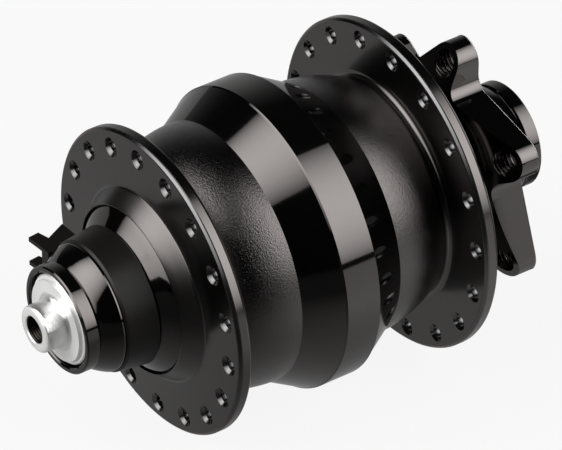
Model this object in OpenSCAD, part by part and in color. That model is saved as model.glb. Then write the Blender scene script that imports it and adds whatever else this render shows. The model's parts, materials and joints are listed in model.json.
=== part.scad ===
// Hub dynamo for a bicycle's front wheel, with a six-bolt disc mount and quick-release ends.
// The axle lies along Y: the plug socket is at the -Y end and the brake disc at the +Y end.
// The origin is on the axle's centre line, midway between the two fork faces, and +Z is up.

/* [Fork fit] */
// Distance between the two fork faces
over_locknut = 100; // [97:1:110]
// Diameter of the stub that sits in each fork slot
stub_d = 9; // [8.4:0.1:10]
// How far the left stub stands out from its fork face
left_stub_len = 4.5; // [3:0.5:6]
// How far the right stub stands out from its fork face
right_stub_len = 2.5; // [2:0.1:6]
// Bore for the quick-release skewer
skewer_bore_d = 5.2; // [5:0.1:6]

/* [Axle and bearings] */
// Outer diameter of the hollow axle
axle_d = 15; // [14:0.25:15.5]
// Bore of the hollow axle
axle_bore_d = 10; // [9.4:0.1:10.6]
// Depth of the wire groove in the axle
wire_groove_depth = 1.6; // [1.5:0.05:1.8]
// Outer diameter of both bearings
bearing_od = 28; // [27:0.5:29]
// Width of both bearings
bearing_w = 7; // [6.6:0.1:8]
// Diameter of the bearing balls
ball_d = 4; // [3.5:0.1:4.2]
// Number of balls in each bearing
ball_count = 11; // [9:1:12]

/* [Shell] */
// Distance from the middle to the outer face of the right flange
right_flange_out = 24; // [22:0.5:26]
// Diameter of the left flange
left_flange_d = 59; // [57:0.5:66]
// Diameter of the right flange
right_flange_d = 64.4; // [62.4:0.2:70]
// Thickness of both flanges
flange_t = 2.8; // [2.2:0.1:3.4]
// Distance from the left flange's rim to the middle of its spoke holes
left_spoke_edge = 3.5; // [2.8:0.1:4.2]
// Distance from the right flange's rim to the middle of its spoke holes
right_spoke_edge = 3.2; // [2.8:0.1:4.2]
// Diameter of a spoke hole
spoke_hole_d = 2.6; // [2.4:0.1:3]
// Spoke holes in each flange
spokes_per_side = 18; // [12:2:20]
// Angle of the first spoke hole of the left flange
left_spoke_turn = 16; // [0:1:30]
// Angle of the first spoke hole of the right flange
right_spoke_turn = 6; // [0:1:30]
// Height of the boss on the left flange
boss_h = 3.7; // [3.3:0.1:4.5]
// Wall at the left shell's joint
left_joint_wall = 1.7; // [1.2:0.1:2.6]
// Wall at the right shell's joint
right_joint_wall = 1.2; // [0.9:0.1:2.4]
// How far the bowed barrels fall from their joint to their flange
barrel_drop = 3.3; // [1:0.1:3.6]
// Distance from the middle to the joint of the left shell
left_joint = 14; // [12.5:0.5:15.5]
// Distance from the middle to the joint of the right shell
right_joint = 7.7; // [6.5:0.1:9]
// Diameter of the raised band
band_d = 58.4; // [54:0.2:62]
// Width of the raised band
band_w = 6.9; // [4:0.1:8]
// Place of the raised band's middle along the axle
band_at = -3.45; // [-4.5:0.05:-2.5]
// Bore of the centre ring
shell_bore_d = 46.8; // [46:0.2:47.4]

/* [Disc mount] */
// Distance from the fork face to the disc's seat
disc_setback = 10.5; // [9.5:0.5:12.5]
// Bolt circle of the disc
disc_circle_d = 44; // [43:0.5:46]
// Diameter of a tapped disc hole
disc_hole_d = 5; // [4:0.1:5.4]
// Radius of a lobe's tip around its hole
lobe_r = 3.7; // [3.4:0.1:4.4]
// Thickness of a lobe at its tip
lobe_tip_t = 3.6; // [3:0.1:5]
// Slope of the lobes' backs
lobe_slope = 22; // [14:1:26]
// Angle between a lobe's long flank and the square to its arm
flank_angle = 9.6; // [8:0.2:13]
// Fillet in the corner between two lobes
lobe_fillet = 2.9; // [1:0.1:3.4]
// Angle of the first lobe
lobe_turn = 30; // [0:1:59]
// Wall of the neck around the right dust cap
neck_wall = 1.8; // [1.4:0.1:2.4]

/* [Generator] */
// Pairs of magnet poles
pole_pairs = 14; // [10:1:16]
// Thickness of the magnet yoke
yoke_t = 1.4; // [1:0.1:1.8]
// Thickness of the magnets
magnet_t = 2; // [1.5:0.1:2.6]
// Gap between the magnets and the claws
air_gap = 0.4; // [0.3:0.05:0.6]
// Width of the stator
stator_w = 15; // [12:0.5:16]
// Thickness of a claw pole's plate
plate_t = 1.5; // [1:0.1:2]
// Thickness of the claws
claw_t = 1.8; // [1.4:0.1:2.4]
// Wall of the stator's core sleeve
core_wall = 2.5; // [2:0.1:3]
// Wall of the bobbin
bobbin_wall = 0.9; // [0.7:0.1:1.3]
// Diameter of a lead wire with its sleeve
wire_d = 1.2; // [1:0.05:1.25]

/* [Ends] */
// Length of the left end cap
left_cap_len = 7; // [6:0.1:8]
// Wall of the end caps around the adapters
cap_wall = 1.2; // [1:0.1:1.8]
// Rise of the end caps' flare above their ring
cap_flare_rise = 1.9; // [1.4:0.1:2.4]
// Depth of the groove between the ring and the flare
cap_groove = 0.4; // [0.1:0.05:0.5]
// Length of the end caps' ring
cap_ring_len = 2.9; // [2:0.1:3.4]
// Diameter of the adapters' rim
adapter_d = 17.3; // [16.8:0.1:18]
// Thickness of the adapters' rim
adapter_rim_t = 2.1; // [1.6:0.1:2.6]
// Width of the adapters' lowered rim
rim_w = 0.9; // [0.6:0.1:1.6]
// Length of the adapters' tail in the axle
tail_len = 10; // [6:0.5:14]
// Diameter of the left dust cap
left_dust_d = 31.8; // [31:0.2:33]
// Length of the connector ring
ring_len = 6.5; // [6:0.1:7]
// Diameter of the connector ring at its back
ring_back_d = 26.6; // [26:0.2:28]
// Diameter of the connector ring at its front
ring_front_d = 25.2; // [25.2:0.2:26]
// Distance from the axle's centre to the mouth of the plug socket
socket_reach = 19; // [18:0.2:21]
// Clear height of the plug socket
socket_gap = 4.4; // [4.2:0.1:5]
// Wall of the plug socket
socket_wall = 0.9; // [0.7:0.1:1.2]
// Height of the socket's lowest face below the axle's centre
socket_drop = 2.1; // [1.6:0.1:2.6]

/* [Clearances] */
// Gap between turning and fixed pieces
run_gap = 0.3; // [0.25:0.05:0.4]
// Gap in a seat that is pressed or bonded
seat_gap = 0.02; // [0.01:0.01:0.04]
// Gap between a ball and its groove or pocket
ball_gap = 0.1; // [0.08:0.01:0.14]

/* [Hidden] */
$fn = 96;

// Small edges and fillets
edge = 0.4;
fine_edge = 0.25;
flange_edge = 0.55;
edge_ease = 0.12;
boss_lip = 0.3;
boss_slope = 36.5;
boss_fillet = 0.8;
flange_rise = 0.35;
root_fillet = 1.2;
neck_fillet = 2;
stub_fillet = 0.8;
stub_lip = 0.7;
hole_flare = 0.5;

// Places on the left side, as distances outward from the middle, counted in from the fork face
fork_at = over_locknut/2;
cap_setback = 0.3;
cap_gap = 0.3;
cap_gap_depth = 1;
cap_lip_t = 0.25;
cap_bend = 14;
dust_flare_h = 2.2;
dust_rim_t = 1.2;
dust_back_gap = 0.5;
cap_front_at = fork_at - cap_setback;
ring_front_at = cap_front_at - left_cap_len;
ring_back_at = ring_front_at - ring_len;
left_boss_at = ring_back_at - dust_flare_h;
left_flange_out = left_boss_at - boss_h;
left_bearing_at = left_boss_at - dust_rim_t - dust_back_gap;
left_bearing_in = left_bearing_at - bearing_w;

// Places on the right side
right_dust_lip = 0.2;
right_dust_r = bearing_od/2 + right_dust_lip;
disc_at = fork_at - disc_setback;
right_dust_rise = 0.2;
right_dust_at = disc_at + right_dust_rise;
right_bearing_at = right_dust_at - dust_rim_t - dust_back_gap;
right_bearing_in = right_bearing_at - bearing_w;
right_flare_h = 1.3;
right_cap_in = right_dust_at + right_flare_h;
right_flange_in = right_flange_out - flange_t;

// Ends
rim_setback = 0.75;
rim_slope = 0.25;
seat_at = fork_at - rim_setback - adapter_rim_t;
adapter_gap = 0.45;
cap_seat_r = adapter_d/2 + adapter_gap;
cap_ring_r = cap_seat_r + cap_wall;
cap_flare_r = cap_ring_r + cap_flare_rise;
tail_gap = 0.05;
seal_groove_w = 1.2;
tail_groove_depth = 0.7;

// The disc mount has six lobes
disc_bolts = 6;

// Shell joints and cavity
shell_bore_r = shell_bore_d/2;
spigot_r = shell_bore_r - seat_gap;
spigot_len = 2.5;
spigot_wall = 1.6;
spigot_groove_depth = 0.9;
cavity_r = shell_bore_r - spigot_wall;
shoulder_r = bearing_od/2 - 1.4;
left_recess_r = left_dust_d/2 + run_gap;
right_recess_r = right_dust_r + run_gap;
neck_r = right_recess_r + neck_wall;
cavity_taper = 2.6;
shoulder_t = 2.2;
left_end_rise = 0.8;
left_taper_run = 3.5;
right_end_rise = 3;
right_taper_from = 4;

// Generator, centred between the two shell joints
gen_at = (right_joint - left_joint)/2;
yoke_from = -left_joint + spigot_len;
yoke_to = right_joint - spigot_len;
yoke_in_r = shell_bore_r - seat_gap - yoke_t;
magnet_in_r = yoke_in_r - seat_gap - magnet_t;
magnet_side_gap = 0.4;
stator_r = magnet_in_r - air_gap;
stator_from = gen_at - stator_w/2;
stator_to = gen_at + stator_w/2;
core_r = axle_d/2 + core_wall;
claw_fill = 0.6;
claw_end_gap = 0.6;
bobbin_gap = 0.05;
claw_bobbin_gap = 0.4;
winding_set_in = 0.4;
bobbin_in_r = core_r + bobbin_gap;
bobbin_out_r = stator_r - claw_t - claw_bobbin_gap;
winding_in_r = bobbin_in_r + bobbin_wall + seat_gap;
winding_out_r = bobbin_out_r - winding_set_in;

// Bearings
pitch_r = (axle_d + bearing_od)/4;
groove_r = ball_d/2 + ball_gap;
race_gap = ball_d*0.675;
collar_step = 0.2;
collar_r = pitch_r - race_gap/2 - collar_step;
bearing_seal_t = 0.6;
seal_step = 0.4;
seal_lip_gap = 0.15;
cage_half = 0.45;
cage_open = 1;
cage_back = 0.5;

// Wires and contacts, on the -X side
axle_r = axle_d/2;
wire_gap = 0.15;
wire_x = axle_r - wire_groove_depth + wire_d/2 + wire_gap;
wire_pitch = 1.6;
wire_groove_w = wire_pitch + wire_d + 4*wire_gap;
contact_t = 0.4;
contact_w = 1.6;
contact_inset = 1.5;
socket_floor = 15;
nose_at = ring_front_at + 0.9;
nose_slant = 0.4;
nose_in_r = cap_flare_r + 2*run_gap;
ring_root_r = axle_r + 2;
socket_slant = 0.25;
notch_back = 2;
notch_depth = 2.4;
barb_len = 0.7;
contact_places = [ring_front_at - contact_inset, ring_back_at + contact_inset];
winding_places = [gen_at - 2, gen_at + 2];

// Points of an arc in an outline
function arc(c, r, from, to, n = 8) =
    [for (i = [0:n]) c + r*[cos(from + (to - from)*i/n), sin(from + (to - from)*i/n)]];

// Points of a bowed barrel from its joint to its root: an arc that is level at the joint
function bow(r, joint, root, n = 12) =
    let (run = root - joint, bend = (run*run + barrel_drop*barrel_drop)/(2*barrel_drop))
    [for (i = [0:n]) let (d = run*i/n) [r - bend + sqrt(bend*bend - d*d), joint + d]];

// Arc bowed outward from a wide place back to a slim one, turning by an angle in all
function flare(wide, slim, bent_by, n = 8) =
    let (span = wide - slim, first = atan2(span[0], -span[1]) + bent_by/2,
        bend = norm(span)/(2*sin(bent_by/2)))
    [for (i = [n:-1:0]) let (lean = first - bent_by*i/n)
        slim - bend*[cos(first) - cos(lean), sin(first) - sin(lean)]];

// Each inner corner of an open outline, cut back by a distance along both of its sides
function eased(points, cut) =
    [for (i = [1:len(points) - 2]) for (side = [points[i - 1], points[i + 1]])
        points[i] + cut*(side - points[i])/norm(side - points[i])];

// A turned piece: the outline gives radius and place along the axle
module turned(outline) {
    rotate([-90, 0, 0])
        rotate_extrude()
            polygon(outline);
}

// A plain turned tube
module tube(r_in, r_out, from, to) {
    turned([[r_in, from], [r_out, from], [r_out, to], [r_in, to]]);
}

// A flat outline in X and Z, thickened along the axle
module slab(from, to) {
    translate([0, to, 0])
        rotate([90, 0, 0])
            linear_extrude(to - from)
                children();
}

// Puts a piece that is drawn outward along +Y on the left end
module on_left() {
    mirror([0, 1, 0])
        children();
}

// Copies round the axle
module around(count, first = 0) {
    for (i = [0:count - 1])
        rotate([0, -first - i*360/count, 0])
            children();
}

// Part of a flat ring, as wide as the angle
module ring_part(r_in, r_out, angle) {
    reach = 2*r_out;
    intersection() {
        difference() {
            circle(r_out);
            circle(r_in);
        }
        polygon([[0, 0], reach*[cos(angle/2), -sin(angle/2)], reach*[cos(angle/2), sin(angle/2)]]);
    }
}

// A spoke hole with a flare at each face of its flange
module spoke_holes(circle_r, first, from, to) {
    r = spoke_hole_d/2;
    over = 0.5;
    around(spokes_per_side, first)
        translate([circle_r, 0, 0])
            turned([[0, from - over], [r + hole_flare + over, from - over], [r, from + hole_flare],
                [r, to - hole_flare], [r + hole_flare + over, to + over], [0, to + over]], $fn = 32);
}

module axle() {
    color("silver")
        difference() {
            tube(axle_bore_d/2, axle_r, -seat_at, seat_at);
            groove_to = max(winding_places) + wire_d;
            groove_from = -max(contact_places) - wire_d;
            translate([-axle_d, groove_from, -wire_groove_w/2])
                cube([axle_d/2 + wire_groove_depth, groove_to - groove_from, wire_groove_w]);
        }
}

// An end piece: tail in the axle, rim in the end cap, fork face and stub, drawn outward
module adapter(stub_len) {
    bore_r = skewer_bore_d/2;
    rim_at = fork_at - rim_setback;
    tail_r = axle_bore_d/2 - tail_gap;
    tail_at = seat_at - tail_len;
    groove_at = seat_at - tail_len/2;
    stub_r = stub_d/2;
    face_r = adapter_d/2 - rim_w;
    end_at = fork_at + stub_len;
    turned(concat(
        [[bore_r, tail_at], [tail_r - edge, tail_at], [tail_r, tail_at + edge],
            [tail_r, groove_at - seal_groove_w/2], [tail_r - tail_groove_depth, groove_at - seal_groove_w/2],
            [tail_r - tail_groove_depth, groove_at + seal_groove_w/2], [tail_r, groove_at + seal_groove_w/2],
            [tail_r, seat_at], [adapter_d/2, seat_at], [adapter_d/2, rim_at - fine_edge],
            [adapter_d/2 - fine_edge, rim_at], [face_r + rim_slope, rim_at], [face_r, fork_at]],
        arc([stub_r + stub_fillet, fork_at + stub_fillet], stub_fillet, 270, 180, 5),
        arc([stub_r - stub_lip, end_at - stub_lip], stub_lip, 0, 90, 6),
        [[bore_r + fine_edge, end_at], [bore_r, end_at - fine_edge]]));
}

module left_adapter() {
    color("gainsboro")
        on_left()
            adapter(left_stub_len);
}

module right_adapter() {
    color("gainsboro")
        adapter(right_stub_len);
}

// An O-ring that lies on the floor of a groove
module groove_seal(floor_r, depth, at) {
    section_r = depth/2 - seat_gap;
    translate([0, at, 0])
        rotate([-90, 0, 0])
            rotate_extrude()
                translate([floor_r + section_r + seat_gap, 0])
                    circle(section_r, $fn = 32);
}

module adapter_seals() {
    floor_r = axle_bore_d/2 - tail_gap - tail_groove_depth;
    at = seat_at - tail_len/2;
    color("dimgray") {
        groove_seal(floor_r, tail_groove_depth, -at);
        groove_seal(floor_r, tail_groove_depth, at);
    }
}

// A ring nut with a groove and a bowed flare, whose rim stands off what it seats on; drawn outward
module end_cap(in_at) {
    bore_r = axle_r + seat_gap;
    groove_at = cap_front_at - cap_ring_len;
    rim_at = in_at + cap_gap;
    turned(concat(
        [[bore_r, in_at], [cap_flare_r - cap_gap_depth, in_at], [cap_flare_r - cap_gap_depth, rim_at],
            [cap_flare_r, rim_at]],
        flare([cap_flare_r, rim_at + cap_lip_t], [cap_ring_r, groove_at - cap_groove], cap_bend),
        [[cap_ring_r - cap_groove, groove_at], [cap_ring_r, groove_at + cap_groove],
            [cap_ring_r, cap_front_at - fine_edge],
            [cap_ring_r - fine_edge, cap_front_at], [cap_seat_r + fine_edge, cap_front_at],
            [cap_seat_r, cap_front_at - fine_edge], [cap_seat_r, seat_at], [bore_r, seat_at]]));
}

module left_end_cap() {
    color("#141414")
        on_left()
            end_cap(ring_front_at);
}

module right_end_cap() {
    color("#141414")
        end_cap(right_cap_in);
}

// A cover on the axle in front of a bearing, drawn outward
module dust_cap(rim_r, rim_at, front_r, front_at, bearing_at) {
    bore_r = axle_r + seat_gap;
    back_at = rim_at - dust_rim_t;
    turned([[bore_r, bearing_at], [collar_r, bearing_at], [collar_r, back_at], [rim_r, back_at],
        [rim_r, rim_at - fine_edge], [rim_r - fine_edge, rim_at], [front_r, front_at], [bore_r, front_at]]);
}

module left_dust_cap() {
    color("#161616")
        on_left()
            dust_cap(left_dust_d/2, left_boss_at, ring_back_d/2 - edge, ring_back_at, left_bearing_at);
}

module right_dust_cap() {
    color("#161616")
        dust_cap(right_dust_r, right_dust_at, cap_flare_r + edge, right_cap_in, right_bearing_at);
}

// Outline of a socket wall, seen from above: reach out from the axle and place outward along it
module socket_wall_outline() {
    notch_at = ring_front_at - notch_back;
    barb_at = notch_at + barb_len;
    polygon([[ring_root_r, ring_back_at], [socket_floor, ring_back_at],
        [socket_reach - socket_slant, ring_back_at + socket_slant], [socket_reach - notch_depth, notch_at],
        [socket_reach, barb_at], [socket_reach - socket_slant, nose_at],
        [socket_floor, nose_at - nose_slant], [nose_in_r, nose_at - nose_slant],
        [nose_in_r, ring_front_at - edge], [ring_root_r, ring_front_at - edge]]);
}

// The socket's floor behind the contacts
module socket_core_outline() {
    polygon([[ring_root_r, ring_back_at], [socket_floor, ring_back_at], [socket_floor, nose_at - nose_slant],
        [nose_in_r, nose_at - nose_slant], [nose_in_r, ring_front_at - edge],
        [ring_root_r, ring_front_at - edge]]);
}

// Puts an outline of reach and outward place on the -X side of the left end, between two heights
module on_socket(low, high) {
    translate([0, 0, low])
        linear_extrude(high - low)
            rotate(180)
                children();
}

module connector_ring() {
    back_r = ring_back_d/2;
    front_r = ring_front_d/2;
    bore_r = axle_r + seat_gap;
    low = -socket_drop;
    high = low + 2*socket_wall + socket_gap;
    color("#262626")
        difference() {
            union() {
                on_left()
                    turned([[bore_r, ring_back_at], [back_r - fine_edge, ring_back_at],
                        [back_r, ring_back_at + fine_edge], [front_r, ring_front_at - edge],
                        [front_r - edge, ring_front_at], [bore_r, ring_front_at]]);
                on_socket(low, high)
                    socket_core_outline();
                on_socket(low, low + socket_wall)
                    socket_wall_outline();
                on_socket(high - socket_wall, high)
                    socket_wall_outline();
            }
            for (i = [0, 1])
                translate([0, -contact_places[i], (0.5 - i)*wire_pitch])
                    rotate([0, -90, 0])
                        cylinder(d = wire_d + 2*wire_gap, h = socket_floor + seat_gap);
        }
}

module terminal_contacts() {
    low = -socket_drop + socket_wall + wire_gap;
    high = low + socket_gap - 2*wire_gap;
    color("goldenrod")
        for (at = contact_places)
            translate([-socket_floor - contact_t, -at - contact_w/2, low])
                cube([contact_t, contact_w, high - low]);
}

// One insulated wire: out of the winding, along the axle's groove and out to its contact
module lead_wire(height, contact_at, winding_at) {
    run = [[winding_in_r - wire_gap, winding_at], [wire_x, winding_at], [wire_x, -contact_at],
        [socket_floor, -contact_at]];
    for (i = [0:2]) {
        a = run[i];
        b = run[i + 1];
        span = norm(b - a);
        translate([-a[0], a[1], height])
            rotate(atan2(b[1] - a[1], a[0] - b[0]))
                rotate([0, 90, 0])
                    cylinder(d = wire_d, h = span, $fn = 24);
    }
    for (i = [1, 2])
        translate([-run[i][0], run[i][1], height])
            sphere(d = wire_d, $fn = 24);
}

module lead_wires() {
    color("firebrick")
        for (i = [0, 1])
            lead_wire((0.5 - i)*wire_pitch, contact_places[i], winding_places[i]);
}

module left_spacer() {
    color("lightgray")
        tube(axle_r + seat_gap, collar_r, -left_bearing_in, stator_from);
}

module right_spacer() {
    color("lightgray")
        tube(axle_r + seat_gap, collar_r, stator_to, right_bearing_in);
}

// Holes on the -X side that the wires pass through on their way to the winding
module wire_ways() {
    for (i = [0, 1])
        translate([0, winding_places[i], (0.5 - i)*wire_pitch])
            rotate([0, -90, 0])
                cylinder(d = wire_d + 2*wire_gap, h = winding_in_r + wire_gap);
}

module stator_core() {
    color("slategray")
        difference() {
            tube(axle_r + seat_gap, core_r - seat_gap, stator_from, stator_to);
            wire_ways();
        }
}

// A plate with claws that reach across the coil, drawn from its outer face
module claw_pole() {
    pitch = 360/pole_pairs;
    slab(0, plate_t)
        difference() {
            circle(stator_r - claw_t/2);
            circle(core_r);
        }
    slab(0, stator_w - plate_t - claw_end_gap)
        for (i = [0:pole_pairs - 1])
            rotate(i*pitch)
                ring_part(stator_r - claw_t, stator_r, claw_fill*pitch/2);
}

module left_claw_pole() {
    color("steelblue")
        translate([0, stator_from, 0])
            claw_pole();
}

module right_claw_pole() {
    color("cadetblue")
        translate([0, stator_to, 0])
            mirror([0, 1, 0])
                rotate([0, 180/pole_pairs, 0])
                    claw_pole();
}

module bobbin() {
    from = stator_from + plate_t + bobbin_gap;
    to = stator_to - plate_t - bobbin_gap;
    tube_r = bobbin_in_r + bobbin_wall;
    color("ivory")
        difference() {
            turned([[bobbin_in_r, from], [bobbin_out_r, from], [bobbin_out_r, from + bobbin_wall],
                [tube_r, from + bobbin_wall], [tube_r, to - bobbin_wall], [bobbin_out_r, to - bobbin_wall],
                [bobbin_out_r, to], [bobbin_in_r, to]]);
            wire_ways();
        }
}

module winding() {
    side = plate_t + bobbin_gap + bobbin_wall + seat_gap;
    color("peru")
        tube(winding_in_r, winding_out_r, stator_from + side, stator_to - side);
}

// A race is a ring with a round groove for the balls
module inner_race(from) {
    r_in = axle_r + seat_gap;
    r_out = pitch_r - race_gap/2;
    half = bearing_w/2;
    color("lightsteelblue")
        translate([0, from + half, 0])
            rotate([-90, 0, 0])
                rotate_extrude()
                    difference() {
                        translate([r_in, -half])
                            square([r_out - r_in, bearing_w]);
                        translate([pitch_r, 0])
                            circle(groove_r);
                    }
}

// The outer race also has a step for each seal
module outer_race(from) {
    r_in = pitch_r + race_gap/2;
    r_out = bearing_od/2 - seat_gap;
    step_r = r_in + seal_step;
    half = bearing_w/2;
    step_at = half - bearing_seal_t;
    color("lightsteelblue")
        translate([0, from + half, 0])
            rotate([-90, 0, 0])
                rotate_extrude()
                    difference() {
                        polygon([[r_in, -step_at], [step_r, -step_at], [step_r, -half], [r_out, -half],
                            [r_out, half], [step_r, half], [step_r, step_at], [r_in, step_at]]);
                        translate([pitch_r, 0])
                            circle(groove_r);
                    }
}

module balls(from) {
    color("white")
        translate([0, from + bearing_w/2, 0])
            around(ball_count)
                translate([pitch_r, 0, 0])
                    sphere(d = ball_d, $fn = 48);
}

// A crown cage: a ring with a pocket for each ball, joined behind the balls
module cage(from) {
    pocket_r = ball_d/2 + ball_gap;
    middle = from + bearing_w/2;
    color("tan")
        difference() {
            tube(pitch_r - cage_half, pitch_r + cage_half, middle - cage_open,
                middle + pocket_r + cage_back);
            translate([0, middle, 0])
                around(ball_count)
                    translate([pitch_r, 0, 0])
                        rotate([0, 90, 0])
                            cylinder(r = pocket_r, h = 4*cage_half, center = true);
        }
}

module bearing_seals(from) {
    r_in = pitch_r - race_gap/2 + seal_lip_gap;
    r_out = pitch_r + race_gap/2 + seal_step - seat_gap;
    color("#303030") {
        tube(r_in, r_out, from, from + bearing_seal_t - seat_gap);
        tube(r_in, r_out, from + bearing_w - bearing_seal_t + seat_gap, from + bearing_w);
    }
}

module left_inner_race() inner_race(-left_bearing_at);
module left_outer_race() outer_race(-left_bearing_at);
module left_balls() balls(-left_bearing_at);
module left_cage() cage(-left_bearing_at);
module left_bearing_seals() bearing_seals(-left_bearing_at);
module right_inner_race() inner_race(right_bearing_in);
module right_outer_race() outer_race(right_bearing_in);
module right_balls() balls(right_bearing_in);
module right_cage() cage(right_bearing_in);
module right_bearing_seals() bearing_seals(right_bearing_in);

// The end of a shell that enters the centre ring, from its joint: outline with the seal's groove
function spigot(joint, dir) =
    let (mid = joint + dir*spigot_len/2, half = dir*seal_groove_w/2,
        floor_r = spigot_r - spigot_groove_depth)
    [[spigot_r, joint], [spigot_r, mid - half], [floor_r, mid - half], [floor_r, mid + half],
        [spigot_r, mid + half], [spigot_r, joint + dir*spigot_len], [cavity_r, joint + dir*spigot_len]];

// The rim of a flange, with both edges chamfered and the chamfers' corners eased
function flange_rim(r, from, to) =
    let (low = r - flange_edge)
    eased([[low - flange_edge, from], [low, from], [r, from + flange_edge], [r, to - flange_edge], [low, to],
        [low - flange_edge, to]], edge_ease);

module left_shell() {
    boss_r = left_recess_r + boss_lip;
    base_r = boss_r + (boss_h - fine_edge - flange_rise)*tan(boss_slope);
    fillet_run = boss_fillet/tan(45 + boss_slope/2);
    face = -left_flange_out;
    root_face = face - flange_rise;
    back = face + flange_t;
    flange_r = left_flange_d/2;
    barrel_r = shell_bore_r + left_joint_wall;
    root_r = barrel_r - barrel_drop;
    barrel = bow(barrel_r, -left_joint, back + root_fillet);
    last = len(barrel) - 1;
    end_wall = shoulder_t - left_bearing_in;
    color("#2b2b2b")
        difference() {
            turned(concat(
                [[left_recess_r, -left_boss_at], [boss_r - fine_edge/2, -left_boss_at],
                    [boss_r, -left_boss_at + fine_edge]],
                arc([base_r + fillet_run, root_face - boss_fillet], boss_fillet, 180 - boss_slope, 90, 5),
                flange_rim(flange_r, face, back),
                arc([root_r + root_fillet, back + root_fillet], root_fillet, 270, 180),
                [for (i = [last:-1:0]) barrel[i]],
                spigot(-left_joint, 1),
                [[cavity_r, end_wall + left_end_rise + left_taper_run],
                    [cavity_r - cavity_taper, end_wall + left_end_rise],
                    [shoulder_r, end_wall], [shoulder_r, -left_bearing_in],
                    [bearing_od/2, -left_bearing_in], [bearing_od/2, -left_bearing_at],
                    [left_recess_r, -left_bearing_at]]));
            spoke_holes(flange_r - left_spoke_edge, left_spoke_turn, face, back);
        }
}

module centre_ring() {
    left_r = shell_bore_r + left_joint_wall;
    right_r = shell_bore_r + right_joint_wall;
    band_r = band_d/2;
    band_from = band_at - band_w/2;
    band_to = band_at + band_w/2;
    color("#0c0c0c")
        turned([[shell_bore_r, -left_joint], [left_r, -left_joint],
            [band_r - fine_edge, band_from - fine_edge], [band_r, band_from],
            [band_r, band_to], [band_r - fine_edge, band_to + fine_edge],
            [right_r, right_joint], [shell_bore_r, right_joint]]);
}

// A point of a flat drawing, turned about the middle
function spun(p, angle) = [p[0]*cos(angle) - p[1]*sin(angle), p[0]*sin(angle) + p[1]*cos(angle)];

// One lobe of the disc mount, pointing along +Y of a flat drawing: the fillet at its foot, its steep
// wall and its round tip; the long flank runs straight from the tip to the next lobe's fillet
function lobe() =
    let (circle_r = disc_circle_d/2, turn = 360/disc_bolts,
        across = [sin(flank_angle), cos(flank_angle)],
        reach = across*(circle_r*[sin(turn), cos(turn)]) + lobe_r,
        side = lobe_r + lobe_fillet,
        centre = [side, (reach + lobe_fillet - across[0]*side)/across[1]])
    concat(arc(centre, lobe_fillet, 270 - flank_angle, 180),
        arc([0, circle_r], lobe_r, 0, 90 + turn - flank_angle, 20));

// The six lobes with their sloped backs
module disc_mount() {
    tip_r = disc_circle_d/2 + lobe_r;
    core_cut_r = neck_r - neck_wall/2;
    cone_r = neck_r - neck_wall;
    past = 1;
    fall = tan(lobe_slope);
    root_at = disc_at - lobe_tip_t - fall*(tip_r - cone_r);
    intersection() {
        slab(root_at, disc_at)
            difference() {
                polygon([for (i = [0:disc_bolts - 1]) for (p = lobe())
                    spun(p, lobe_turn - 90 + i*360/disc_bolts)]);
                circle(core_cut_r);
            }
        turned([[cone_r, root_at], [tip_r + past, disc_at - lobe_tip_t + fall*past],
            [tip_r + past, disc_at], [cone_r, disc_at]]);
    }
}

// Tapped holes of the disc mount, with a small flare at the seat
module disc_holes() {
    r = disc_hole_d/2;
    over = 0.5;
    around(disc_bolts, lobe_turn)
        translate([disc_circle_d/2, 0, 0])
            turned([[0, right_flange_out + over], [r, right_flange_out + over], [r, disc_at - fine_edge],
                [r + fine_edge + over, disc_at + over], [0, disc_at + over]]);
}

module right_shell() {
    flange_r = right_flange_d/2;
    barrel_r = shell_bore_r + right_joint_wall;
    root_r = barrel_r - barrel_drop;
    bearing_r = bearing_od/2;
    color("#2b2b2b")
        difference() {
            union() {
                turned(concat(
                    bow(barrel_r, right_joint, right_flange_in - root_fillet),
                    arc([root_r + root_fillet, right_flange_in - root_fillet], root_fillet, 180, 90),
                    flange_rim(flange_r, right_flange_in, right_flange_out),
                    arc([neck_r + neck_fillet, right_flange_out + neck_fillet], neck_fillet, 270, 180),
                    [[neck_r, disc_at], [right_recess_r, disc_at], [right_recess_r, right_bearing_at],
                        [bearing_r, right_bearing_at], [bearing_r, right_bearing_in],
                        [shoulder_r, right_bearing_in], [shoulder_r, right_flange_in],
                        [cavity_r - cavity_taper, right_flange_in - right_end_rise],
                        [cavity_r, right_joint + right_taper_from]],
                    [for (i = [6:-1:0]) spigot(right_joint, -1)[i]]));
                disc_mount();
            }
            spoke_holes(flange_r - right_spoke_edge, right_spoke_turn, right_flange_in, right_flange_out);
            disc_holes();
        }
}

module magnet_yoke() {
    color("gray")
        tube(yoke_in_r, shell_bore_r - seat_gap, yoke_from, yoke_to);
}

module magnets() {
    pitch = 180/pole_pairs;
    side_angle = magnet_side_gap/magnet_in_r*180/PI;
    color("darkslategray")
        slab(yoke_from + magnet_side_gap, yoke_to - magnet_side_gap)
            for (i = [0:2*pole_pairs - 1])
                rotate(i*pitch)
                    ring_part(magnet_in_r, yoke_in_r - seat_gap, pitch - side_angle);
}

module shell_seals() {
    floor_r = spigot_r - spigot_groove_depth;
    color("dimgray") {
        groove_seal(floor_r, spigot_groove_depth, -left_joint + spigot_len/2);
        groove_seal(floor_r, spigot_groove_depth, right_joint - spigot_len/2);
    }
}

axle();
left_adapter();
right_adapter();
adapter_seals();
left_end_cap();
right_end_cap();
connector_ring();
terminal_contacts();
lead_wires();
left_dust_cap();
right_dust_cap();
left_spacer();
right_spacer();
stator_core();
left_claw_pole();
right_claw_pole();
bobbin();
winding();
left_inner_race();
left_outer_race();
left_balls();
left_cage();
left_bearing_seals();
right_inner_race();
right_outer_race();
right_balls();
right_cage();
right_bearing_seals();
left_shell();
centre_ring();
right_shell();
magnet_yoke();
magnets();
shell_seals();
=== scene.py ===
import json
import math
import bpy
import numpy as np
from mathutils import Matrix, Vector


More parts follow.
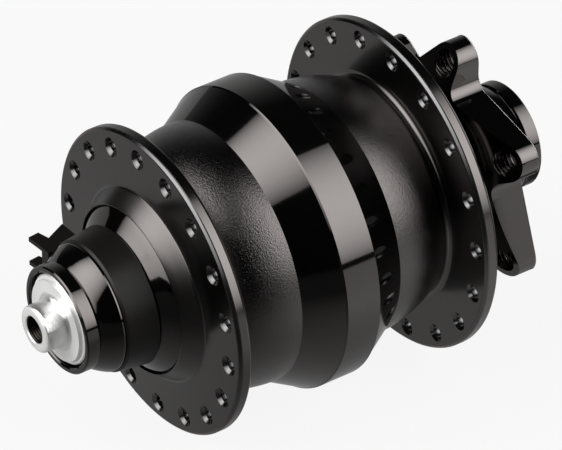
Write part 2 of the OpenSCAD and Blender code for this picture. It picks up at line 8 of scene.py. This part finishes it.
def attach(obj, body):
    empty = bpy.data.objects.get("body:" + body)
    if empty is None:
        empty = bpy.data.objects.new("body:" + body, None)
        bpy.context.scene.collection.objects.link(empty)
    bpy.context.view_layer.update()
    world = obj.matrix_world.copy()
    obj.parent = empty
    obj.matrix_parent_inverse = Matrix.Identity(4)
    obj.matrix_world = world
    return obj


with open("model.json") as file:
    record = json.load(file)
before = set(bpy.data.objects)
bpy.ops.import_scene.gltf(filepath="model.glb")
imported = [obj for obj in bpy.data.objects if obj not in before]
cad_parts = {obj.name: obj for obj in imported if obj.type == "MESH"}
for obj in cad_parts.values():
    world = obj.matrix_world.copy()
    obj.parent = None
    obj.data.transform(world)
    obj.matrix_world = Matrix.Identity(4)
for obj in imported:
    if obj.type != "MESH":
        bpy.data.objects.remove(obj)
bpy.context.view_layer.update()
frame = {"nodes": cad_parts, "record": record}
scene = bpy.context.scene
print("frame loaded:", len(frame["nodes"]), "nodes")

mm = 0.001


# a ring of holes from the record: place along the axle, radius of its circle, radius and number of its holes
def holeRing(name):
    mount = next(m for m in frame["record"]["mounts"] if m["name"] == name)
    dims = mount["dims"]
    return dict(at=mount["pos_m"][1]/mm, circle=dims["pcd_mm"]/2, hole=dims["hole_r_mm"], count=dims["count"])


# how far a node reaches out from the axle's line
def reachOf(name):
    return max(corner[0] for corner in frame["nodes"][name].bound_box)/mm


discHoles, leftSpokes, rightSpokes = map(holeRing, ("disc_bolts", "left_spokes", "right_spokes"))
leftFlange, rightFlange = map(reachOf, ("left_shell", "right_shell"))


# shader sockets that add, multiply and compare like numbers
class Tone:
    def __init__(self, tree, socket):
        self.tree = tree
        self.socket = socket

    # the one place where a node is made: settings by attribute, then inputs by name or number
    def make(self, kind, inputs=(), out=0, **settings):
        node = self.tree.nodes.new(kind)
        for key, value in settings.items():
            setattr(node, key, value)
        for key, value in dict(inputs).items():
            if isinstance(value, Tone):
                self.tree.links.new(value.socket, node.inputs[key])
            else:
                node.inputs[key].default_value = value
        return Tone(self.tree, node.outputs[out])

    # chosen outputs of the node behind this tone
    def outs(self, *keys):
        return [Tone(self.tree, self.socket.node.outputs[key]) for key in keys]

    def math(self, operation, *others, clamp=False):
        values = dict(enumerate((self,) + others))
        return self.make("ShaderNodeMath", values, operation=operation, use_clamp=clamp)

    def __add__(self, other):
        return self.math("ADD", other)

    def __sub__(self, other):
        return self.math("SUBTRACT", other)

    def __rsub__(self, other):
        return self.math("MULTIPLY_ADD", -1.0, other)

    def __mul__(self, other):
        return self.math("MULTIPLY", other)

    def __truediv__(self, other):
        return self.math("DIVIDE", other)

    def __rtruediv__(self, other):
        return self.math("POWER", -1.0)*other

    __radd__, __rmul__ = __add__, __mul__  # sums and products come out the same either way round

    def sine(self):
        return self.math("SINE")

    def root(self):
        return self.math("SQRT")

    def size(self):
        return self.math("ABSOLUTE")

    # 0 at low and before it, 1 at high and past it, smooth between
    def ramp(self, low, high):
        return self.make("ShaderNodeMapRange", {"Value": self, "From Min": low, "From Max": high},
                         interpolation_type="SMOOTHSTEP")

    # goes from low to high as this goes from 0 to 1
    def between(self, low, high):
        return self*(high - low) + low

    # colour a where this is 0, colour b where it is 1; the node's colour sockets go by number
    def colours(self, a, b):
        return self.make("ShaderNodeMix", {0: self, 6: a, 7: b}, out=2, data_type="RGBA")


# the place on an object: the point as a vector, then its x, y and z in metres
def objectPlace(tree):
    point = Tone(tree, None).make("ShaderNodeTexCoord", out="Object")
    return [point] + point.make("ShaderNodeSeparateXYZ", {0: point}).outs(0, 1, 2)


# a new material: its principled shader, and the tones of the place on the object in millimetres
class Finish:
    def __init__(self, name, **constants):
        self.material = bpy.data.materials.new(name)
        self.material.use_nodes = True
        self.tree = self.material.node_tree
        self.shader = self.tree.nodes["Principled BSDF"]
        for key, value in constants.items():
            self.shader.inputs[key].default_value = value
        self.point, *parts = objectPlace(self.tree)
        x, self.along, z = (part*(1/mm) for part in parts)
        self.radius = (x*x + z*z).root()
        self.angle = z.math("ARCTAN2", x)

    # fractal noise, with its size given in millimetres
    def noise(self, size, detail=3.0, rough=0.5, place=None):
        return self.point.make("ShaderNodeTexNoise", {"Vector": place or self.point, "Scale": 1/(size*mm),
                                                      "Detail": detail, "Roughness": rough})

    # the object's points stretched along the three axes
    def stretched(self, *scale):
        return self.point.make("ShaderNodeVectorMath", {0: self.point, 1: scale}, operation="MULTIPLY")

    # (radius, place along the axle, angle) as a vector, so that noise runs in turned rings
    def ringPlace(self, perAngle):
        return self.point.make("ShaderNodeCombineXYZ", {0: self.radius*mm, 1: self.along*mm,
                                                        2: self.angle*(perAngle*mm)})

    def link(self, **tones):
        for key, tone in tones.items():
            self.tree.links.new(tone.socket, self.shader.inputs[key.replace("_", " ")])

    def bump(self, height, depth):
        normal = self.point.make("ShaderNodeBump", {"Height": height, "Distance": depth*mm, "Strength": 1.0})
        self.link(Normal=normal)


def grey(value, warm=0.0):
    return (value*(1 + warm), value, value*(1 - warm), 1.0)


anodised = {"Specular Tint": (1.0, 0.925, 0.9, 1.0)}  # the dyed skin shines a little warm


# gloss black anodised rings: nearly mirror smooth, with faint turning rings and dust-fine mottling
def glossBlack():
    look = dict(index=1.71, dark=0.00064, light=0.00104, warm=0.03, roughness=(0.04, 0.09),
                mottling=(-0.015, 0.015), ringSize=0.25, ringDrift=0.15, mottleSize=6.0, relief=0.0006)
    f = Finish("glossBlack", IOR=look["index"], **anodised)
    rings = f.noise(look["ringSize"], rough=0.6, place=f.ringPlace(look["ringDrift"]))
    cloud = f.noise(look["mottleSize"])
    f.link(Base_Color=cloud.colours(grey(look["dark"]), grey(look["light"], look["warm"])),
           Roughness=rings.between(*look["roughness"]) + cloud.between(*look["mottling"]))
    f.bump(rings, look["relief"])
    return f.material


# satin black shells: blasted grain on the barrels, turned rings on the flanges and boss, milled marks on the
# disc mount; the chamfers of the flanges and of the spoke holes are bare cut metal, dulled by the dye
def satinBlack():
    look = dict(index=1.77, dark=0.00049, light=0.00098, warm=0.05, cut=0.1, cutRough=0.2,
                blasted=(0.09, 0.21), turned=(0.14, 0.2), milled=(0.04, 0.1), bossRough=0.12,
                fineSize=0.15, coarseSize=0.34, fineShare=0.35, ringSize=0.16, ringDrift=0.1, markSize=0.3,
                markStretch=0.06, cloudSize=5.0, relief=0.095, turnedRelief=0.008, bossRelief=0.03,
                milledRelief=0.004)
    # where each zone begins and where it is full, along the axle or, for the rims, outward
    zones = dict(boss=(-30.8, -31.2), barrelStart=(-27.2, -26.2), barrelEnd=(20.9, 19.9), mount=(24.6, 25.6),
                 leftRim=(28.9, 29.0), leftFace=(-29.7, -29.8), rightRim=(31.6, 31.7), rightFace=(21.8, 21.7),
                 rightHalf=(-1.0, 1.0))
    spokes = dict(leftFirst=16.0, rightFirst=6.0, chamfer=(1.82, 1.74))  # first angles, chamfer's edge
    f = Finish("satinBlack", IOR=look["index"], **anodised)
    fine = f.noise(look["fineSize"], detail=2.0, rough=0.7)
    coarse = f.noise(look["coarseSize"], detail=2.0, rough=0.6)
    grain = fine*look["fineShare"] + coarse*(1 - look["fineShare"])
    rings = f.noise(look["ringSize"], rough=0.6, place=f.ringPlace(look["ringDrift"]))
    marks = f.noise(look["markSize"], detail=2.0, rough=0.6, place=f.stretched(1.0, look["markStretch"], 1.0))
    cloud = f.noise(look["cloudSize"])
    milled = f.along.ramp(*zones["mount"])
    barrel = f.along.ramp(*zones["barrelStart"])*f.along.ramp(*zones["barrelEnd"])
    turned = (1.0 - barrel)*(1.0 - milled)
    boss = f.along.ramp(*zones["boss"])
    leftEdge = f.radius.ramp(*zones["leftRim"])*f.along.ramp(*zones["leftFace"])
    rightEdge = f.radius.ramp(*zones["rightRim"])*f.along.ramp(*zones["rightFace"])
    cutFace = leftEdge + rightEdge
    onRight = f.along.ramp(*zones["rightHalf"])
    for side, ring, first in ((1.0 - onRight, leftSpokes, spokes["leftFirst"]),
                              (onRight, rightSpokes, spokes["rightFirst"])):
        pitch = 2*math.pi/ring["count"]
        turn = ((f.angle - math.radians(first))/pitch + 0.5).math("FRACT") - 0.5  # from the nearest hole
        aside, out = turn*(pitch*ring["circle"]), f.radius - ring["circle"]
        cutFace = cutFace + side*(aside*aside + out*out).root().ramp(*spokes["chamfer"])
    cutFace = cutFace.math("MINIMUM", 1.0)*turned
    black = (grain*0.5 + cloud*0.5).colours(grey(look["dark"]), grey(look["light"], look["warm"]))
    rough = (barrel*grain.between(*look["blasted"]) + milled*marks.between(*look["milled"])
             + turned*(rings.between(*look["turned"]) + boss*look["bossRough"]))
    f.link(Base_Color=cutFace.colours(black, grey(look["cut"])), Metallic=cutFace,
           Roughness=rough - cutFace*(rough - look["cutRough"]))
    f.bump(barrel*grain + turned*rings*(boss*look["bossRelief"] + look["turnedRelief"])
           + milled*marks*look["milledRelief"], look["relief"])
    return f.material


# bare cut metal of a broken edge, in short worn stretches
def cutMetal():
    look = dict(dark=0.2, light=0.45, roughness=(0.16, 0.3), wearSize=1.5)
    f = Finish("cutMetal", Metallic=1.0)
    wear = f.noise(look["wearSize"])
    f.link(Base_Color=wear.colours(grey(look["dark"]), grey(look["light"])),
           Roughness=wear.between(*look["roughness"]))
    return f.material


# moulded plastic of the connector ring: brownish black and half dull, with a fine spark texture
def mattePlastic():
    look = dict(index=1.33, dark=0.0024, darkWarm=0.18, light=0.0044, lightWarm=0.2, roughness=(0.34, 0.44),
                grainSize=0.2, relief=0.008)
    f = Finish("mattePlastic", IOR=look["index"])
    grain = f.noise(look["grainSize"], detail=2.0, rough=0.6)
    dark, light = grey(look["dark"], look["darkWarm"]), grey(look["light"], look["lightWarm"])
    f.link(Base_Color=grain.colours(dark, light), Roughness=grain.between(*look["roughness"]))
    f.bump(grain, look["relief"])
    return f.material


# bright turned aluminium of the adapters: fine grooves, a sine of radius plus place along, spread the shine
# across them; the stub's side is polished, the flat faces are a frosted white, and the skewer bore is ridged
# and painted dark as painted shade in the deep hole
def brightMetal():
    # dark and darkWarm are the colour of the bore's painted shade
    look = dict(dull=0.9, bright=0.98, brightWarm=0.01, dark=0.03, darkWarm=0.15, metal=(0.9, 0.55),
                roughness=(0.05, 0.14), ringRough=0.06, boreRough=0.15, ringSize=0.14, ringDrift=0.2,
                cloudSize=3.0, ridge=0.5, groove=0.11, relief=0.05, grooveRelief=0.1, ringRelief=0.06)
    zones = dict(shadedBore=(2.75, 2.6), rim=(5.0, 5.8), stubEnd=(54.1, 54.3))  # where each begins and is full
    f = Finish("brightMetal")
    rings = f.noise(look["ringSize"], rough=0.65, place=f.ringPlace(look["ringDrift"]))
    cloud = f.noise(look["cloudSize"])
    # painted shade: the deep skewer bore is coloured dark brown-black
    shadedBore = f.radius.ramp(*zones["shadedBore"])
    face = f.radius.ramp(*zones["rim"]).math("MAXIMUM", f.along.size().ramp(*zones["stubEnd"]))
    skin = cloud.colours(grey(look["dull"]), grey(look["bright"], look["brightWarm"]))
    f.link(Base_Color=shadedBore.colours(skin, grey(look["dark"], look["darkWarm"])),
           Metallic=face.between(*look["metal"]),
           Roughness=face.between(*look["roughness"]) + rings*look["ringRough"] + shadedBore*look["boreRough"])
    ridges = (f.along*(2*math.pi/look["ridge"])).sine()
    grooves = ((f.radius + f.along)*(2*math.pi/look["groove"])).sine()
    f.bump(grooves*look["grooveRelief"] + rings*look["ringRelief"] + shadedBore*ridges, look["relief"])
    return f.material


# plain inner pieces: a base colour with slight clouds and its own roughness
def innerFinish(name, colour, roughness, metallic=0.0):
    look = dict(darker=0.8, lighter=1.15, roughSpread=0.06, cloudSize=1.2, relief=0.004)
    f = Finish(name, Metallic=metallic)
    cloud = f.noise(look["cloudSize"])
    dark = tuple(c*look["darker"] for c in colour) + (1.0,)
    light = tuple(min(1.0, c*look["lighter"]) for c in colour) + (1.0,)
    f.link(Base_Color=cloud.colours(dark, light),
           Roughness=cloud.between(roughness - look["roughSpread"], roughness + look["roughSpread"]))
    f.bump(cloud, look["relief"])
    return f.material


finishes = {
    "gloss_black": glossBlack(), "satin_black": satinBlack(), "matte_black": mattePlastic(),
    "bright_metal": brightMetal(),
    "axle_steel": innerFinish("axleSteel", (0.5, 0.5, 0.51), 0.3, 1.0),
    "contact_brass": innerFinish("contactBrass", (0.75, 0.56, 0.27), 0.25, 1.0),
    "seal_rubber": innerFinish("sealRubber", (0.02, 0.02, 0.02), 0.55),
    "wire_sleeve": innerFinish("wireSleeve", (0.42, 0.04, 0.03), 0.45),
    "bearing_steel": innerFinish("bearingSteel", (0.66, 0.67, 0.68), 0.12, 1.0),
    "cage_plastic": innerFinish("cagePlastic", (0.62, 0.52, 0.34), 0.5),
    "soft_iron": innerFinish("softIron", (0.22, 0.22, 0.23), 0.45, 1.0),
    "coil_copper": innerFinish("coilCopper", (0.62, 0.28, 0.12), 0.3, 1.0),
    "bobbin_plastic": innerFinish("bobbinPlastic", (0.85, 0.82, 0.72), 0.5),
    "magnet_plating": innerFinish("magnetPlating", (0.45, 0.45, 0.46), 0.2, 1.0),
}
slotOf = {part["node"]: part["material_slot"] for part in frame["record"]["subparts"]}
for name, node in frame["nodes"].items():
    node.data.materials.clear()
    node.data.materials.append(finishes[slotOf[name]])
print("finishes:", len(finishes))


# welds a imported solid's loose triangles and shades it smooth, except at edges sharper than the angle
def smoothShading(angle, weldWithin=0.002):
    group = bpy.data.node_groups.new("smoothShading", "GeometryNodeTree")
    for way in ("INPUT", "OUTPUT"):
        group.interface.new_socket("Geometry", in_out=way, socket_type="NodeSocketGeometry")
    nodes, links = group.nodes, group.links
    start, end = nodes.new("NodeGroupInput"), nodes.new("NodeGroupOutput")
    weld = nodes.new("GeometryNodeMergeByDistance")
    weld.inputs["Distance"].default_value = weldWithin*mm
    bend = nodes.new("GeometryNodeInputMeshEdgeAngle")
    compare = nodes.new("FunctionNodeCompare")
    compare.operation = "LESS_EQUAL"
    compare.inputs[1].default_value = math.radians(angle)
    faces, edges = nodes.new("GeometryNodeSetShadeSmooth"), nodes.new("GeometryNodeSetShadeSmooth")
    edges.domain = "EDGE"
    links.new(start.outputs[0], weld.inputs["Geometry"])
    links.new(weld.outputs[0], faces.inputs["Geometry"])
    links.new(faces.outputs[0], edges.inputs["Geometry"])
    links.new(bend.outputs["Unsigned Angle"], compare.inputs[0])
    links.new(compare.outputs[0], edges.inputs["Shade Smooth"])
    links.new(edges.outputs[0], end.inputs[0])
    return group


smoothGroup, crispGroup = smoothShading(20), smoothShading(10)  # the centre ring has straight faces alone
for name, node in frame["nodes"].items():
    node.modifiers.new("smooth", "NODES").node_group = crispGroup if name == "centre_ring" else smoothGroup
print("shading set")


# closed tubes on the turning shell, from points given as tubes by rows by columns by 3: rows and columns both
# close on themselves, and faces look outward where rows run along the tube and columns turn round it
def tubePiece(name, points, material):
    count, rows, columns, _ = points.shape
    k, i, j = np.meshgrid(np.arange(count), np.arange(rows), np.arange(columns), indexing="ij")
    nextI, nextJ = (i + 1) % rows, (j + 1) % columns
    corners = ((i, j), (i, nextJ), (nextI, nextJ), (nextI, j))
    quads = np.stack([(k*rows + row)*columns + column for row, column in corners], axis=-1).reshape(-1, 4)
    mesh = bpy.data.meshes.new(name)
    mesh.from_pydata(points.reshape(-1, 3).tolist(), [], quads.tolist())
    mesh.polygons.foreach_set("use_smooth", np.ones(len(quads), dtype=bool))
    mesh.materials.append(material)
    thing = bpy.data.objects.new(name, mesh)
    scene.collection.objects.link(thing)
    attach(thing, "shell")
    return thing


# the six lobes of the disc mount, which the threads and the seat's edge share
lobes = dict(first=30.0, tipRadius=3.7, seatAt=discHoles["at"], circle=discHoles["circle"],
             count=discHoles["count"])

# threads of the six disc holes: a sleeve in each hole whose inner radius is the hole's, less a wave of the
# place along the hole over the pitch minus the turn: a triangle cut off at the root and crest; its inner end
# follows the slope of the lobe's back
threads = dict(lobes, holeRadius=discHoles["hole"], pitch=0.8, depth=0.43, root=0.125, crest=0.75,
               tipThick=3.6, slope=22.0, inset=0.15, fade=0.5, turns=60, rows=150, skin=0.003)


def makeThreads(c):
    hole = np.radians(c["first"] + 360.0/c["count"]*np.arange(c["count"]))[:, None, None]
    turn = np.linspace(0, 2*np.pi, c["turns"], endpoint=False)[None, None, :]
    step = np.linspace(0, 1, c["rows"])[None, :, None]
    middleX, middleZ = c["circle"]*np.cos(hole), c["circle"]*np.sin(hole)
    outer = c["holeRadius"] - c["skin"]
    reach = np.hypot(middleX + outer*np.cos(turn), middleZ + outer*np.sin(turn))
    inward = c["circle"] + c["tipRadius"] - reach
    backAt = c["seatAt"] - c["tipThick"] - math.tan(math.radians(c["slope"]))*inward
    start, end = backAt + c["inset"], c["seatAt"] - 2*c["inset"]
    along = start + (end - start)*step
    triangle = np.abs(((along/c["pitch"] - turn/(2*np.pi)) % 1.0)*2 - 1)
    wave = np.clip((triangle - c["root"])/(c["crest"] - c["root"]), 0, 1)
    fade = np.clip(np.minimum(along - start, end - along)/c["fade"], 0, 1)
    inner = outer - 2*c["skin"] - c["depth"]*wave*fade
    returning = np.broadcast_to(along[:, [-1, 0], :], (c["count"], 2, c["turns"]))  # the sleeve's outside
    s = np.concatenate([along, returning], axis=1)
    r = np.concatenate([inner, np.full(returning.shape, outer)], axis=1)
    points = np.stack([middleX + r*np.cos(turn), s, middleZ + r*np.sin(turn)], axis=-1)*mm
    return tubePiece("discThreads", points, finishes["satin_black"])


makeThreads(threads)
print("threads made")

# broken edge round the disc seat: a thin bead along the outline of the six lobes; each lobe's outline is the
# arc of the fillet at its foot, the arc of its tip and the straight flank to the next foot, and the outline's
# points lead a circle of columns square to its run
seatEdge = dict(lobes, fillet=2.9, flank=9.6, bead=0.09, sink=0.04, filletSteps=14, tipSteps=30,
                flankSteps=12, columns=10)


# points on an arc: the middle plus r times the cosine and sine of angles from a to b
def arc(middle, r, a, b, count):
    angle = np.linspace(a, b, count)
    return middle + r*np.stack([np.cos(angle), np.sin(angle)], axis=-1)


# flat points turned about the origin
def spun(points, angle):
    x, y = points[:, 0], points[:, 1]
    return np.stack([x*np.cos(angle) - y*np.sin(angle), x*np.sin(angle) + y*np.cos(angle)], axis=-1)


def makeSeatEdge(c):
    flank, turn = math.radians(c["flank"]), 2*math.pi/c["count"]
    across = np.array([math.sin(flank), math.cos(flank)])  # square to the flank
    reach = across @ (c["circle"]*np.array([math.sin(turn), math.cos(turn)])) + c["tipRadius"]
    side = c["tipRadius"] + c["fillet"]
    footAt = np.array([side, (reach + c["fillet"] - across[0]*side)/across[1]])
    foot = arc(footAt, c["fillet"], 1.5*math.pi - flank, math.pi, c["filletSteps"])
    tip = arc(np.array([0, c["circle"]]), c["tipRadius"], 0, math.pi/2 + turn - flank, c["tipSteps"])
    nextFoot = spun(foot[:1], turn)[0]
    line = tip[-1] + (nextFoot - tip[-1])*np.linspace(0, 1, c["flankSteps"] + 1)[1:-1, None]
    one = np.concatenate([foot, tip, line])
    firstTurn = math.radians(c["first"]) - math.pi/2
    outline = np.concatenate([spun(one, firstTurn + turn*i) for i in range(c["count"])])
    run = np.roll(outline, -1, axis=0) - np.roll(outline, 1, axis=0)
    outward = np.stack([run[:, 1], -run[:, 0]], axis=-1)/np.linalg.norm(run, axis=1)[:, None]
    lap = np.linspace(0, 2*np.pi, c["columns"], endpoint=False)[None, :]
    out = (-c["sink"] + c["bead"]*np.cos(lap))[..., None]
    flat = outline[:, None, :] + outward[:, None, :]*out
    rise = np.broadcast_to(c["seatAt"] - c["sink"] + c["bead"]*np.sin(lap), flat.shape[:2])
    points = np.stack([flat[..., 0], rise, flat[..., 1]], axis=-1)[None]*mm
    return tubePiece("seatEdge", points, cutMetal())


makeSeatEdge(seatEdge)
print("seat edge made")

# the photograph's viewing angle and framing: a long lens about a metre away; focal length and width in pixels
camera = dict(azimuth=55.661, elevation=37.557, focal=5802.0, imageWidth=562.0, sensor=36.0,
              across=1.2142, up=0.0843, away=1052.34, near=0.05, far=20.0)


def placeCamera(c):
    az, el = math.radians(c["azimuth"]), math.radians(c["elevation"])
    right = Vector((math.cos(az), math.sin(az), 0))
    look = Vector((-math.sin(az)*math.cos(el), math.cos(az)*math.cos(el), -math.sin(el)))
    top = right.cross(look)
    place = -(right*c["across"] + top*c["up"] + look*c["away"])*mm
    data = bpy.data.cameras.new("camera")
    data.sensor_width = c["sensor"]
    data.lens = c["focal"]*c["sensor"]/c["imageWidth"]
    data.clip_start, data.clip_end = c["near"], c["far"]
    thing = bpy.data.objects.new("camera", data)
    turn = Matrix((right, top, -look)).transposed().to_4x4()
    thing.matrix_world = Matrix.Translation(place) @ turn
    scene.collection.objects.link(thing)
    scene.camera = thing


placeCamera(camera)


# a stage mesh from corner points and faces
def stagePiece(name, points, faces, material):
    mesh = bpy.data.meshes.new(name)
    mesh.from_pydata([tuple(p) for p in points], [], faces)
    mesh.materials.append(material)
    thing = bpy.data.objects.new(name, mesh)
    scene.collection.objects.link(thing)
    return thing


# whether a ray comes from the camera, and whether from a mirror or through glass
def rayTones(tree):
    keys = ("Is Camera Ray", "Is Glossy Ray", "Is Transmission Ray")
    seen, glossy, through = Tone(tree, None).make("ShaderNodeLightPath").outs(*keys)
    return seen, glossy + through


# pale floor under both flanges, so it leans a little; white to the camera, and in reflections a glowing grey
# sheet, painted light that fades out toward the camera and beyond the disc end as painted shade and grows
# brighter toward the side light as a painted pool of light; drops and places are in millimetres, its fades in
# metres
floor = dict(reach=3.0, leftAt=leftSpokes["at"], leftDrop=leftFlange, rightAt=rightSpokes["at"],
             rightDrop=rightFlange, gap=0.05, white=0.4, lift=0.9, paintedSheet=0.37, towardCamera=(0.6, -0.8),
             towardSide=(0.8, 0.6), spread=0.15, fade=(0.015, 0.065), rise=(0.02, 0.09), paintedPoolGain=2.5,
             beyond=(-0.0175, -0.026), beyondAside=(-0.02, 0.01), paintedShadeLevel=0.08)


def makeFloor(c):
    slope = (c["leftDrop"] - c["rightDrop"])/(c["rightAt"] - c["leftAt"])
    r = c["reach"]
    near, far = ((-c["leftDrop"] - c["gap"] + slope*(y/mm - c["leftAt"]))*mm for y in (-r, r))
    points = [(-r, -r, near), (r, -r, near), (r, r, far), (-r, r, far)]
    material = bpy.data.materials.new("paleFloor")
    material.use_nodes = True
    tree = material.node_tree
    tree.nodes.remove(tree.nodes["Principled BSDF"])
    seen, mirrored = rayTones(tree)
    point, x, y, _ = objectPlace(tree)
    wider = (x*x + y*y).root()/c["spread"] + 1.0  # the fade grows wider with the distance
    toward = (x*c["towardCamera"][0] + y*c["towardCamera"][1])/wider
    aside = x*c["towardSide"][0] + y*c["towardSide"][1]
    # painted light: the reflected sheet glows brighter toward the side light and fades toward the camera as
    # painted shade
    paintedSheet = toward.ramp(*c["fade"]).between(c["paintedSheet"], 0.0)*aside.ramp(*c["rise"]).between(1.0, c["paintedPoolGain"])
    # painted shade: the reflected sheet darkens beyond the disc end, on the left
    beyond = toward.ramp(*c["beyond"])*x.ramp(*c["beyondAside"])
    shade = 1.0 - mirrored*(1.0 - paintedSheet*beyond.between(1.0, c["paintedShadeLevel"]))
    paint = point.make("ShaderNodeBsdfDiffuse", {"Color": grey(c["white"])})
    glow = point.make("ShaderNodeEmission", {"Color": shade.colours(grey(0.0), grey(1.0)), "Strength": 1.0})
    mixed = point.make("ShaderNodeMixShader", {0: (seen + mirrored)*c["lift"], 1: paint, 2: glow})
    tree.links.new(mixed.socket, tree.nodes["Material Output"].inputs["Surface"])
    return stagePiece("floor", points, [(0, 1, 2, 3)], material)


makeFloor(floor)

# soft boxes: direction, distance and shift of their middle, directions of their sides, width and height in
# metres, brightness in the middle; each fades toward its sides as (1 - a u u)(1 - b v v), a and b being its
# edges; a flag is a black card over the left part of the low edge, whose two sides fade from one u to another
# and from one v to another
softBoxes = dict(
    front=dict(facing=(0, -0.928, 0.371), away=0.75, aside=(-0.275, 0.56), across=(1, 0, 0),
               upward=(0, 0.371, 0.928), width=1.2, height=1.16, middle=4.6, edges=(0.88, 0.42),
               flag=((0.1, 0.3), (-0.86, -0.74))),
    side=dict(facing=(0.6516, 0.454, 0.6077), away=0.8, aside=(-0.014, 0), across=(-0.4219, 0.8825, -0.207),
              upward=(-0.6303, -0.1215, 0.7666), width=0.55, height=1.18, middle=4.2, edges=(0.75, 0.75),
              flag=None),
)


def makeSoftBox(name, c):
    across, upward, facing = (Vector(c[key]).normalized() for key in ("across", "upward", "facing"))
    sideways, rise = c["aside"]
    data = bpy.data.lights.new(name, "AREA")
    data.shape = "RECTANGLE"
    data.size, data.size_y = c["width"], c["height"]
    data.energy = 4*c["width"]*c["height"]*c["middle"]  # watts that make the middle's radiance
    data.use_nodes = True
    tree = data.node_tree
    place = Tone(tree, None).make("ShaderNodeNewGeometry", out="Parametric")
    u, v = ((part - 0.5)*2.0 for part in place.make("ShaderNodeSeparateXYZ", {0: place}).outs(0, 1))
    fade = (1.0 - u*u*c["edges"][0])*(1.0 - v*v*c["edges"][1])
    if c["flag"]:
        flagU, flagV = c["flag"]
        fade = fade*(1.0 - (1.0 - u.ramp(*flagU))*(1.0 - v.ramp(*flagV)))
    tree.links.new(fade.socket, tree.nodes["Emission"].inputs["Strength"])
    lamp = bpy.data.objects.new(name, data)
    centre = (facing + across*sideways + upward*rise)*c["away"]
    lamp.matrix_world = Matrix.Translation(centre) @ Matrix((across, upward, facing)).transposed().to_4x4()
    lamp.visible_camera = False
    scene.collection.objects.link(lamp)


for name, c in softBoxes.items():
    makeSoftBox(name, c)

# dark cloth tent round the set, unseen by the camera: a ball from one elevation to another, its points being
# radius times (cos e cos a, cos e sin a, sin e); in reflections painted light, a glow, lies low over its far
# left part, given by where it begins and where it is full along x, y and z
tent = dict(radius=1.8, lowest=-12.0, highest=86.0, rows=13, columns=48, shade=0.012, roughness=0.9,
            paintedGlow=0.35, paintedGlowX=(-0.9, -1.3), paintedGlowY=(-0.4, 0.9), paintedGlowZ=(1.3, 0.0))


def makeTent(c):
    rows, columns = c["rows"], c["columns"]
    a, e = np.meshgrid(np.linspace(0, 2*np.pi, columns, endpoint=False),
                       np.radians(np.linspace(c["lowest"], c["highest"], rows)))
    points = c["radius"]*np.stack([np.cos(e)*np.cos(a), np.cos(e)*np.sin(a), np.sin(e)], axis=-1)
    i, j = np.meshgrid(np.arange(rows - 1), np.arange(columns), indexing="ij")
    k = (j + 1) % columns
    corners = ((i, j), (i + 1, j), (i + 1, k), (i, k))
    faces = np.stack([row*columns + column for row, column in corners], axis=-1).reshape(-1, 4)
    material = bpy.data.materials.new("darkCloth")
    material.use_nodes = True
    tree = material.node_tree
    cloth = tree.nodes["Principled BSDF"].inputs
    constants = {"Base Color": grey(c["shade"]), "Roughness": c["roughness"], "Emission Strength": 1.0}
    for key, value in constants.items():
        cloth[key].default_value = value
    _, mirrored = rayTones(tree)
    _, x, y, z = objectPlace(tree)
    # painted light: the cloth glows in reflections, low over its far left part
    low = mirrored*x.ramp(*c["paintedGlowX"])*y.ramp(*c["paintedGlowY"])*z.ramp(*c["paintedGlowZ"])
    tree.links.new(low.colours(grey(0.0), grey(c["paintedGlow"])).socket, cloth["Emission Color"])
    thing = stagePiece("tent", points.reshape(-1, 3), [tuple(f) for f in faces], material)
    thing.visible_camera = False


makeTent(tent)


# white to the camera, mirrors and glass, and a faint fill light to everything else
def makeWorld(fill=0.05):
    world = bpy.data.worlds.new("studio")
    scene.world = world
    world.use_nodes = True
    tree = world.node_tree
    seen, mirrored = rayTones(tree)
    back = tree.nodes["Background"]
    tree.links.new((seen + mirrored).math("ADD", fill, clamp=True).socket, back.inputs["Strength"])
    back.inputs["Color"].default_value = grey(1.0)


makeWorld()
scene.view_settings.view_transform = "Standard"
print("stage set")
